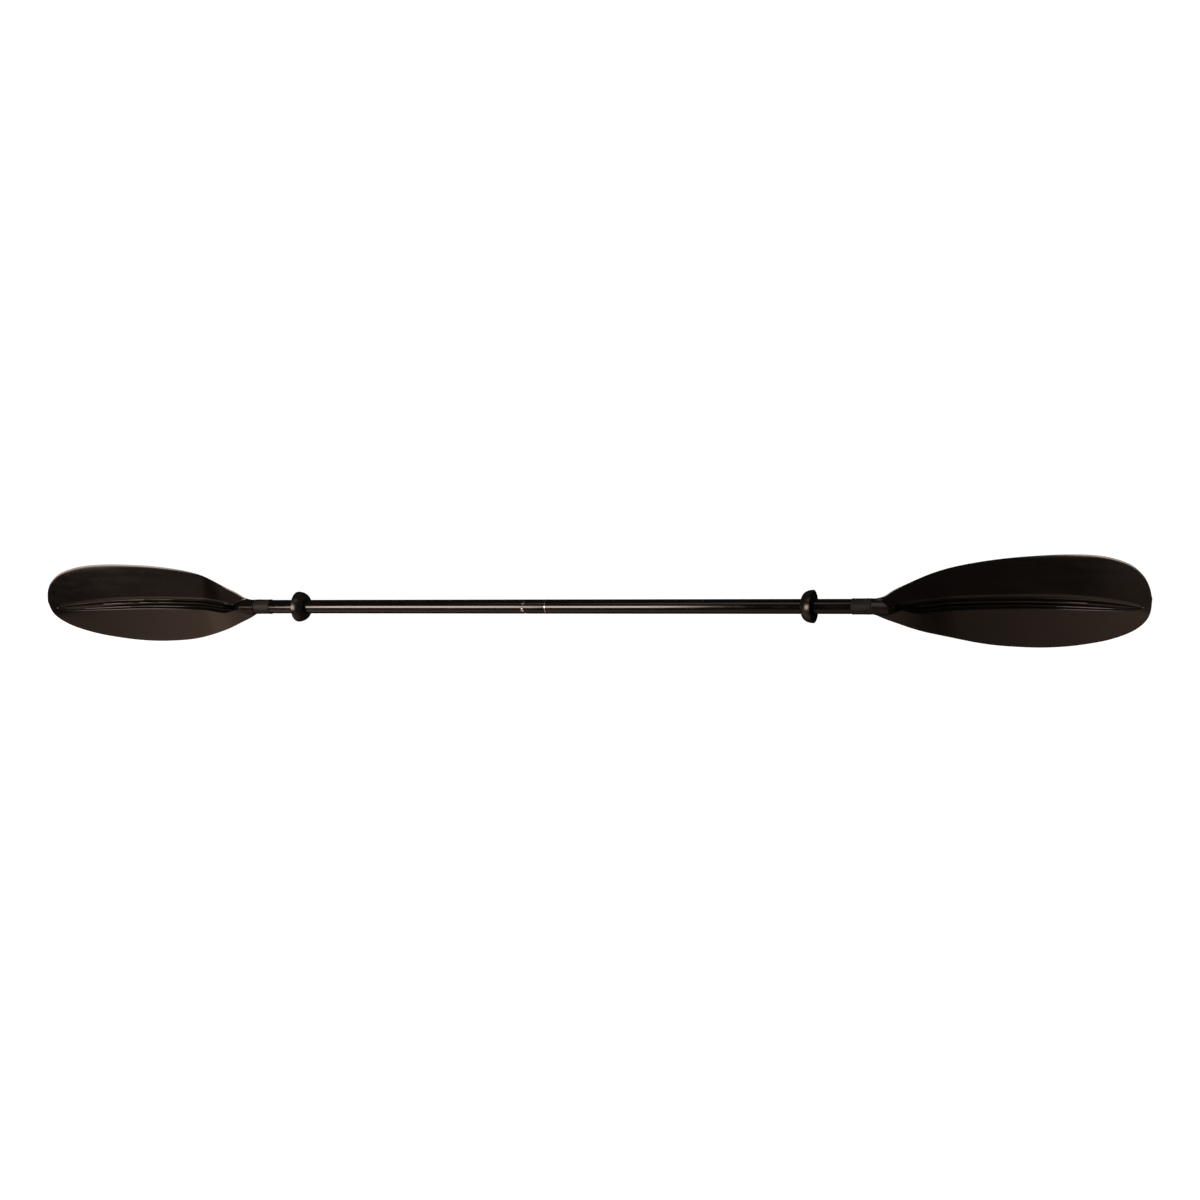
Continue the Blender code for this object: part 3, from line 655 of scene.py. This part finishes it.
def back_height(station, across, plate):
    core = core_width(station)
    offset = abs(across - rib_centre(station))
    if offset > core:
        return plate
    round_part = math.sqrt(max(0.0, 1.0 - (offset / core) ** 2))
    toward_blade = smooth_step((station - SHOULDER) / (RAMP_END - SHOULDER))
    neck_back = -NECK_RADIUS * round_part
    taper = 1.0 - smooth_step((station - RAMP_END) / (RIB_END - RAMP_END))
    spine_back = plate - BACK_SPINE_DEPTH * mix(SPINE_LEAST, 1.0, taper) * round_part ** 1.5
    return min(plate, mix(neck_back, spine_back, toward_blade))


def blade_section(station):
    """One closed loop: the front from the upper edge to the lower, then the back again."""
    lower = -edge_at(LOWER_CURVE, station)
    upper = max(edge_at(UPPER_CURVE, station), lower + TIP_LEAST_WIDTH)
    core = min(core_width(station), 0.45 * (upper - lower))
    inland = smooth_step((HALF_LENGTH - station) / TIP_BLEND)
    centre = (upper + lower) / 2.0
    middle = mix(centre, rib_centre(station), inland)
    across = []
    for step in range(FIN_STEPS):
        t = math.sin(math.pi / 2.0 * (1.0 - step / FIN_STEPS))
        across.append(mix(middle + core, upper, t))
    for step in range(CORE_STEPS + 1):
        across.append(middle + core * math.cos(math.pi * step / CORE_STEPS))
    for step in range(1, FIN_STEPS + 1):
        t = math.sin(math.pi / 2.0 * step / FIN_STEPS)
        across.append(mix(middle - core, lower, t))
    front = []
    back = []
    for value in across:
        fraction = min(1.0, abs(value - centre) / ((upper - lower) / 2.0))
        thick = mix(PLATE_THICKNESS, EDGE_THICKNESS, fraction ** 2)
        rounding = math.sqrt(max(0.0, 1.0 - fraction ** EDGE_SHARPNESS))
        middle_level = plate_level(station, value) - thick / 2.0
        top = front_height(station, value)
        if fraction > EDGE_ZONE:
            top = middle_level + (top - middle_level) * rounding
        plate_back = middle_level - thick / 2.0 * rounding
        front.append((value, top))
        least = top - THINNEST * rounding
        back.append((value, min(back_height(station, value, plate_back), least)))
    return front + back[-2:0:-1]


def blade_stations():
    """Rows are close at the neck, where the rib starts, and at the tip."""
    neck = np.linspace(SHOULDER + 3 * SOCKET_LIP, RIB_START + CREST_TAIL, NECK_ROWS)
    middle = np.linspace(RIB_START + CREST_TAIL, HALF_LENGTH - TIP_ZONE, MIDDLE_ROWS)[1:]
    spread = np.linspace(1.0, 0.0, TIP_ROWS)[1:] ** 2
    tip = HALF_LENGTH - TIP_STEP - (TIP_ZONE - TIP_STEP) * spread
    return [float(station) for run in (neck, middle, tip) for station in run]


def blade_loops():
    count = len(blade_section(HALF_LENGTH - TIP_ZONE))
    half = count // 2
    loops = []
    for station, radius in (
        (SHOULDER - SOCKET_LIP, BORE_RADIUS), (SHOULDER, NECK_RADIUS - SOCKET_LIP),
        (SHOULDER + SOCKET_LIP, NECK_RADIUS),
    ):
        loop = []
        for step in range(count):
            angle = math.pi * step / half
            loop.append((radius * math.cos(angle), radius * math.sin(angle)))
        loops.append((station, loop))
    for station in blade_stations():
        loops.append((station, blade_section(station)))
    return loops


def make_blade(side, suffix, loops):
    count = len(loops[0][1])
    vertices = []
    for station, loop in loops:
        for y, z in loop:
            vertices.append((side * station, y, AXIS.z + z))
    faces = []
    for row in range(len(loops) - 1):
        for i in range(count):
            j = (i + 1) % count
            near = row * count
            far = near + count
            faces.append((near + i, near + j, far + j, far + i))
    faces.append(tuple(range(count)))
    last = (len(loops) - 1) * count
    faces.append(tuple(last + i for i in range(count)))
    piece = make_piece(
        "blade_%s_moulding" % suffix, vertices, faces, BLADE_PLASTIC, suffix + "_half",
        ["blade_" + suffix], sharp=60.0,
    )
    point_outwards(piece)
    # The flutes' steep walls get the near-black material: painted shade.
    piece.data.materials.append(BLADE_FLUTE_PAINTED_SHADE)
    for polygon in piece.data.polygons:
        station = abs(polygon.center.x)
        away = abs(polygon.center.y - rib_centre(station))
        if away < rib_width(station) and 0.0 < polygon.normal.z < FLUTE_SHADE_FACING:
            polygon.material_index = 1
    return piece


# ---- pieces along the shaft ------------------------------------------------------------------
def radial(angle):
    """Direction at an angle from +Z towards +Y."""
    return Vector((0.0, math.sin(angle), math.cos(angle)))


def make_shaft(side, suffix):
    low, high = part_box("shaft_" + suffix)
    start, end = sorted((side * low.x, side * high.x))
    profile = rounded([
        (end, SHAFT_RADIUS), (start, SHAFT_RADIUS), (start, BORE_RADIUS), (end, BORE_RADIUS),
    ], EDGE_EASE)
    shaft = turned_piece(
        "shaft_%s_tube" % suffix, profile, SHAFT_BLACK, suffix + "_half",
        ["shaft_" + suffix], side,
    )
    if suffix == "left":
        places = []
        for angle in (0.0, FEATHER_ANGLE, -FEATHER_ANGLE):
            centre = AXIS + radial(angle) * SHAFT_RADIUS + Vector((BUTTON_STATION, 0.0, 0.0))
            places.append((centre, radial(angle)))
        cut_holes(shaft, places, BUTTON_HOLE_RADIUS, HOLE_DEPTH)
    return shaft


def make_collar(side, suffix):
    """Collar with a thin raised band at each end."""
    outer = (COLLAR_HIGH.z - COLLAR_LOW.z) / 2.0
    inner = SHAFT_RADIUS + SLEEVE_CLEARANCE
    start = COLLAR_LOW.x
    end = COLLAR_HIGH.x
    waist = outer - COLLAR_STEP
    inset = COLLAR_BAND + COLLAR_STEP
    sharp = EDGE_EASE / 3.0
    soft = 4.0 * sharp
    profile = rounded([
        (end, outer, soft), (end - COLLAR_BAND, outer, sharp), (end - inset, waist, sharp),
        (start + inset, waist, sharp), (start + COLLAR_BAND, outer, sharp),
        (start, outer, soft), (start, inner, sharp), (end, inner, sharp),
    ], EDGE_EASE)
    return turned_piece(
        "blade_collar_%s_sleeve" % suffix, profile, COLLAR_PLASTIC, suffix + "_half",
        ["blade_collar_" + suffix], side,
    )


def make_neck_ring(side, suffix):
    outer = (NECK_HIGH.z - NECK_LOW.z) / 2.0
    inner = SHAFT_RADIUS + SLEEVE_CLEARANCE
    start, end = NECK_LOW.x, NECK_HIGH.x
    profile = rounded([(end, outer), (start, outer), (start, inner), (end, inner)], NECK_RING_EASE)
    return turned_piece(
        "neck_ring_%s_band" % suffix, profile, COLLAR_PLASTIC, suffix + "_half",
        ["neck_ring_" + suffix], side,
    )


def ring_profile(near, far):
    """Cup with its mouth at the far end: domed outside, hollow inside, a bead round the grip."""
    lip = RING_WALL / 2.0
    mouth = far - lip
    depth = mouth - near
    hollow = depth - RING_GRIP_LENGTH
    grip = SHAFT_RADIUS + SLEEVE_CLEARANCE
    apex = grip + RING_APEX
    outer = []
    inner = []
    for step in range(RING_STEPS + 1):
        angle = math.pi / 2.0 * step / RING_STEPS
        fall = max(0.0, math.cos(angle)) ** RING_DOME_POWER
        outer.append((mouth - depth * math.sin(angle), apex + (RING_RADIUS - apex) * fall))
        wall = apex + (RING_RADIUS - RING_WALL - apex) * fall
        inner.append((mouth - hollow * math.sin(angle), wall))
    rim = []
    for step in range(1, RIM_STEPS):
        angle = math.pi * step / RIM_STEPS
        rim.append((mouth + lip * math.sin(angle), RING_RADIUS - lip - lip * math.cos(angle)))
    foot = [
        (mouth - hollow, grip + RING_BORE_EASE), (near + RING_FOOT, grip),
        (near + RING_FOOT_EASE, grip), (near, apex - RING_FOOT_CHAMFER),
    ]
    return rim + inner + foot + outer[::-1]


def make_drip_ring(side, suffix):
    low, high = (RING_LOW, RING_HIGH) if side > 0 else (LEFT_RING_LOW, LEFT_RING_HIGH)
    near = min(abs(low.x), abs(high.x))
    far = max(abs(low.x), abs(high.x))
    return turned_piece(
        "drip_ring_%s_cup" % suffix, ring_profile(near, far), RING_RUBBER,
        suffix + "_drip_ring", ["drip_ring_" + suffix], side,
    )


# ---- the joint between the halves ------------------------------------------------------------
def make_joint_ring():
    low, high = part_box("joint_ring")
    outer = (high.z - low.z) / 2.0
    profile = rounded([
        (high.x, outer), (low.x, outer), (low.x, BORE_RADIUS), (high.x, BORE_RADIUS),
    ], JOINT_RING_EASE)
    return turned_piece(
        "joint_ring_washer", profile, BRIGHT_METAL, "coupling_ring", ["joint_ring"]
    )


def make_ferrule():
    inner = FERRULE_RADIUS - FERRULE_WALL
    start = FERRULE_LOW.x
    end = FERRULE_HIGH.x
    profile = rounded([
        (end, FERRULE_RADIUS), (start, FERRULE_RADIUS, FERRULE_NOSE_EASE), (start, inner),
        (end, inner),
    ], EDGE_EASE)
    ferrule = turned_piece(
        "ferrule_tube_sleeve", profile, BRIGHT_METAL, "right_half", ["ferrule_tube"]
    )
    centre = AXIS + Vector((BUTTON_STATION, 0.0, SHAFT_RADIUS))
    cut_holes(ferrule, [(centre, radial(0.0))], BUTTON_HOLE_RADIUS, HOLE_DEPTH)
    return ferrule


def make_button():
    """Round button: eased top edge, a shallow dish and a small dimple in its middle."""
    top = BUTTON_HIGH.z
    bottom = BUTTON_LOW.z
    flange = (BUTTON_HIGH.x - BUTTON_LOW.x) / 2.0
    flange_top = bottom + BUTTON_FLANGE
    dish = top - BUTTON_DISH_DEPTH
    profile = []
    steps = 8
    for step in range(steps + 1):
        angle = math.pi / 2.0 * step / steps
        profile.append((
            BUTTON_DIMPLE_RADIUS * math.sin(angle), dish - BUTTON_DIMPLE_DEPTH * math.cos(angle)
        ))
    profile.append((BUTTON_DISH_RADIUS, top))
    for step in range(1, steps + 2):
        angle = math.pi / 2.0 * step / (steps + 1)
        profile.append((
            BUTTON_RADIUS - BUTTON_EDGE + BUTTON_EDGE * math.sin(angle),
            top - BUTTON_EDGE + BUTTON_EDGE * math.cos(angle),
        ))
    profile += [
        (BUTTON_RADIUS, flange_top + BUTTON_EASE), (BUTTON_RADIUS + BUTTON_EASE, flange_top),
        (flange - BUTTON_EASE, flange_top), (flange, flange_top - BUTTON_EASE),
        (flange, bottom + BUTTON_EASE), (flange - BUTTON_EASE, bottom), (0.0, bottom),
    ]
    vertices = []
    faces = []
    count = len(profile)
    for k in range(BUTTON_SIDES):
        angle = math.tau * k / BUTTON_SIDES
        for radius, z in profile:
            vertices.append((
                BUTTON_STATION + radius * math.cos(angle), radius * math.sin(angle), z
            ))
    for k in range(BUTTON_SIDES):
        near = k * count
        far = ((k + 1) % BUTTON_SIDES) * count
        for i in range(count - 1):
            faces.append((near + i, near + i + 1, far + i + 1, far + i))
    button = make_piece(
        "snap_button_head", vertices, faces, BRIGHT_METAL, "button", ["snap_button"]
    )
    builder = bmesh.new()
    builder.from_mesh(button.data)
    bmesh.ops.remove_doubles(builder, verts=builder.verts, dist=0.000002)
    bmesh.ops.recalc_face_normals(builder, faces=builder.faces)
    builder.to_mesh(button.data)
    builder.free()
    button.data.shade_smooth()
    button.data.set_sharp_from_angle(angle=math.radians(45.0))
    return button


BLADE_LOOPS = blade_loops()
for SIDE, SUFFIX in ((-1.0, "left"), (1.0, "right")):
    make_blade(SIDE, SUFFIX, BLADE_LOOPS)
    make_shaft(SIDE, SUFFIX)
    make_collar(SIDE, SUFFIX)
    make_neck_ring(SIDE, SUFFIX)
    make_drip_ring(SIDE, SUFFIX)
    dress("float_plug_" + SUFFIX, FLOAT_FOAM)
    dress("blade_pin_" + SUFFIX, BRIGHT_METAL)
make_joint_ring()
make_ferrule()
make_button()
dress("ferrule_cap", CAP_PLASTIC)
dress("ferrule_rivet_inner", BRIGHT_METAL)
dress("ferrule_rivet_outer", BRIGHT_METAL)
dress("snap_spring", SPRING_STEEL)


# ---- studio ----------------------------------------------------------------------------------
FLOOR_DROP = 0.12


def make_floor():
    mesh = bpy.data.meshes.new("floor")
    size = 9.0
    mesh.from_pydata(
        [(-size, -size, 0), (size, -size, 0), (size, size, 0), (-size, size, 0)], [], [(0, 1, 2, 3)]
    )
    floor = bpy.data.objects.new("floor", mesh)
    bpy.context.scene.collection.objects.link(floor)
    n = Nodes("floor_pale")
    cloud = n.noise(n.place(), 1.2, 3.0)
    pale = n.colors(cloud, (0.14, 0.14, 0.14), (0.16, 0.16, 0.16))
    # The floor glows a little, like a light table, so that the paddle's shadows stay faint.
    mesh.materials.append(n.finish(
        pale, 0.9, Specular_IOR_Level=0.0, Emission_Color=(1.0, 1.0, 1.0, 1.0), Emission_Strength=0.95
    ))
    # It lies low enough for a blade that is turned to its feather angle to clear it.
    floor.location.z = CAD_LOW.z - FLOOR_DROP
    # The polished pieces reflect the studio's dark surround and its lights instead of the floor.
    floor.visible_glossy = False


def make_world():
    """White to the camera and to diffuse light; a dim warm surround in reflections."""
    world = bpy.data.worlds.new("studio")
    bpy.context.scene.world = world
    world.use_nodes = True
    tree = world.node_tree
    tree.nodes.clear()
    output = tree.nodes.new("ShaderNodeOutputWorld")
    paths = tree.nodes.new("ShaderNodeLightPath")
    bright = tree.nodes.new("ShaderNodeBackground")
    bright.inputs["Color"].default_value = (1.0, 1.0, 1.0, 1.0)
    bright.inputs["Strength"].default_value = 1.0
    surround = tree.nodes.new("ShaderNodeBackground")
    surround.inputs["Color"].default_value = (1.0, 0.80, 0.70, 1.0)
    surround.inputs["Strength"].default_value = 0.03
    choose = tree.nodes.new("ShaderNodeMixShader")
    tree.links.new(paths.outputs["Is Glossy Ray"], choose.inputs["Fac"])
    tree.links.new(bright.outputs["Background"], choose.inputs[1])
    tree.links.new(surround.outputs["Background"], choose.inputs[2])
    tree.links.new(choose.outputs["Shader"], output.inputs["Surface"])


def make_panel(name, centre, aim, width, height, radiance, color, fades, slant=0.0):
    """Soft light panel that faces the aim point; width runs along X.

    The fades are the shares of the panel that dim towards its -X, +X, lower and upper edges. The
    slant brings the upper edge down towards -X.
    """
    mesh = bpy.data.meshes.new(name)
    mesh.from_pydata(
        [(-0.5, -0.5, 0), (0.5, -0.5, 0), (0.5, 0.5, 0), (-0.5, 0.5, 0)], [], [(0, 1, 2, 3)]
    )
    n = Nodes(name)
    n.tree.nodes.remove(n.shader)
    place = n.add("ShaderNodeSeparateXYZ")
    n.link(n.place(), place.inputs["Vector"])
    across = place.outputs["X"]
    upward = place.outputs["Y"]
    lowered = n.math("MAXIMUM", n.math("SUBTRACT", 0.1, across), 0.0)
    slanted = n.math("ADD", upward, n.math("MULTIPLY", lowered, slant))
    strength = float(radiance)
    for source, fade, sign in (
        (across, fades[0], -1.0), (across, fades[1], 1.0), (upward, fades[2], -1.0),
        (slanted, fades[3], 1.0),
    ):
        near = n.math("MULTIPLY", source, sign)
        strength = n.math("MULTIPLY", n.ramp(near, 0.5 - fade, 0.5, 1.0, 0.0), strength)
    emission = n.add("ShaderNodeEmission")
    emission.inputs["Color"].default_value = (*color, 1.0)
    n.link(strength, emission.inputs["Strength"])
    n.link(emission.outputs["Emission"], n.tree.nodes["Material Output"].inputs["Surface"])
    mesh.materials.append(n.material)
    panel = bpy.data.objects.new(name, mesh)
    bpy.context.scene.collection.objects.link(panel)
    away = (Vector(centre) - Vector(aim)).normalized()
    side = Vector((1.0, 0.0, 0.0))
    side = (side - away * side.dot(away)).normalized()
    turn = Matrix((side, away.cross(side), away)).transposed()
    panel.matrix_world = (
        Matrix.Translation(centre) @ turn.to_4x4() @ Matrix.Diagonal((width, height, 1.0, 1.0))
    )
    panel.visible_camera = False
    panel.visible_shadow = False
    return panel


def make_camera():
    """A long lens, turned to the right half and tipped over from straight above the blades."""
    yaw = math.radians(22.10)
    tilt = math.radians(25.70)
    roll = math.radians(-0.099)
    distance = 3.7065
    aside = -0.1092
    below = 0.0126
    toward_camera = Vector((
        math.sin(yaw), math.cos(yaw) * math.sin(tilt), math.cos(yaw) * math.cos(tilt)
    ))
    upward = Vector((0.0, math.cos(tilt), -math.sin(tilt)))
    rightward = upward.cross(toward_camera)
    location = AXIS + toward_camera * distance - rightward * aside + upward * below
    rolled_right = rightward * math.cos(roll) + upward * math.sin(roll)
    rolled_up = toward_camera.cross(rolled_right)
    data = bpy.data.cameras.new("camera")
    data.lens = 57.0
    data.sensor_width = 36.0
    data.clip_end = 100.0
    camera = bpy.data.objects.new("camera", data)
    bpy.context.scene.collection.objects.link(camera)
    turn = Matrix((rolled_right, rolled_up, toward_camera)).transposed()
    camera.matrix_world = Matrix.Translation(location) @ turn.to_4x4()
    bpy.context.scene.camera = camera


make_floor()
make_world()
make_panel(
    "key_panel", (-1.90, 1.15, 3.0), (-1.90, 1.15, 0.0), 2.7, 2.1, 14.0, (1.0, 0.79, 0.66),
    (0.20, 0.25, 0.20, 0.20),
)
make_panel(
    "warm_panel", (-4.00, -3.2, 2.7), (-4.00, -0.5, 0.0), 15.0, 4.8, 0.72, (1.0, 0.67, 0.50),
    (0.05, 0.55, 0.10, 0.12), slant=1.0,
)
make_panel(
    "upper_panel", (-4.20, -0.95, 3.4), (-4.20, -0.20, 0.0), 6.6, 1.5, 0.22, (1.0, 0.72, 0.58),
    (0.15, 0.20, 0.30, 0.30),
)
make_panel(
    "back_panel", (-0.95, 3.2, 1.0), (-0.95, 0.0, 0.0), 3.0, 1.6, 1.0, (1.0, 0.85, 0.76),
    (0.60, 0.20, 0.30, 0.30),
)
make_camera()
bpy.context.scene.view_settings.view_transform = "Standard"
